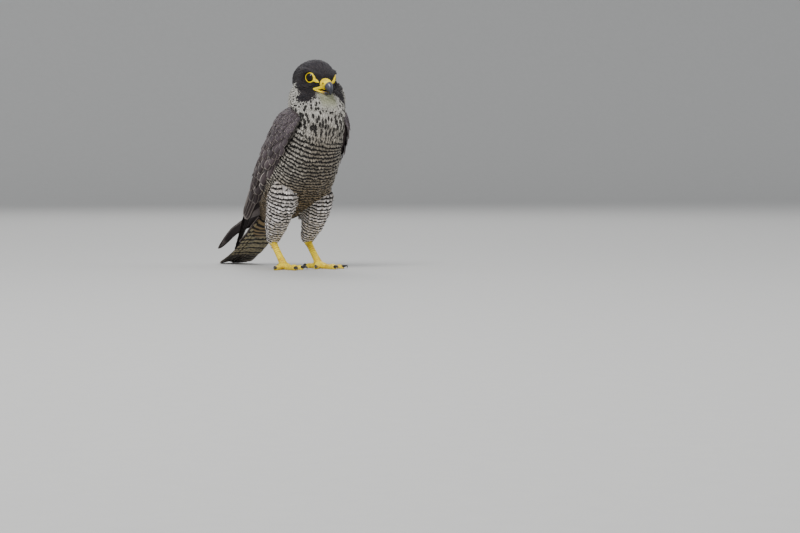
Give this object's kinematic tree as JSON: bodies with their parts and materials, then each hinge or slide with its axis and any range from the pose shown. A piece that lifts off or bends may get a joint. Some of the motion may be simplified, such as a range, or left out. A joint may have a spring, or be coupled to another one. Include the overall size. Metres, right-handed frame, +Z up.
{
  "type": "peregrine falcon model",
  "caption": "Life-size still model of an adult peregrine falcon, standing upright with folded wings and head turned, resting on its toes and tail tip.",
  "frame": {"origin": "middle of the whole bird's box, on the floor that it stands on", "axes": "+Z up; the bird faces -Y, its tail points to +Y and its left side is +X"},
  "size_m": [0.116, 0.321, 0.2798],
  "materials": {
    "pale_feathers": "soft cream feathers with dark spots and wavy bars",
    "dark_feathers": "slate-brown feathers with narrow pale fringes, faint gloss",
    "yellow_skin": "bright yellow bare skin, waxy and finely scaled",
    "bill": "blue-grey horn, darker at the tip, satin",
    "eye": "very dark brown, wet gloss",
    "talon": "black horn, satin gloss"
  },
  "bodies": {
    "root": {"head": "dark_feathers", "neck": "pale_feathers", "torso": "pale_feathers", "cere": "yellow_skin", "beak_upper": "bill", "beak_lower": "bill", "eye_left": "eye", "eye_right": "eye", "wing_left": "dark_feathers", "wing_right": "dark_feathers", "tail": "dark_feathers", "thigh_left": "pale_feathers", "thigh_right": "pale_feathers", "tarsus_left": "yellow_skin", "tarsus_right": "yellow_skin", "foot_left": "yellow_skin", "foot_right": "yellow_skin", "talon_left_1": "talon", "talon_left_2": "talon", "talon_left_3": "talon", "talon_left_4": "talon", "talon_right_1": "talon", "talon_right_2": "talon", "talon_right_3": "talon", "talon_right_4": "talon"}
  },
  "joints": []
}
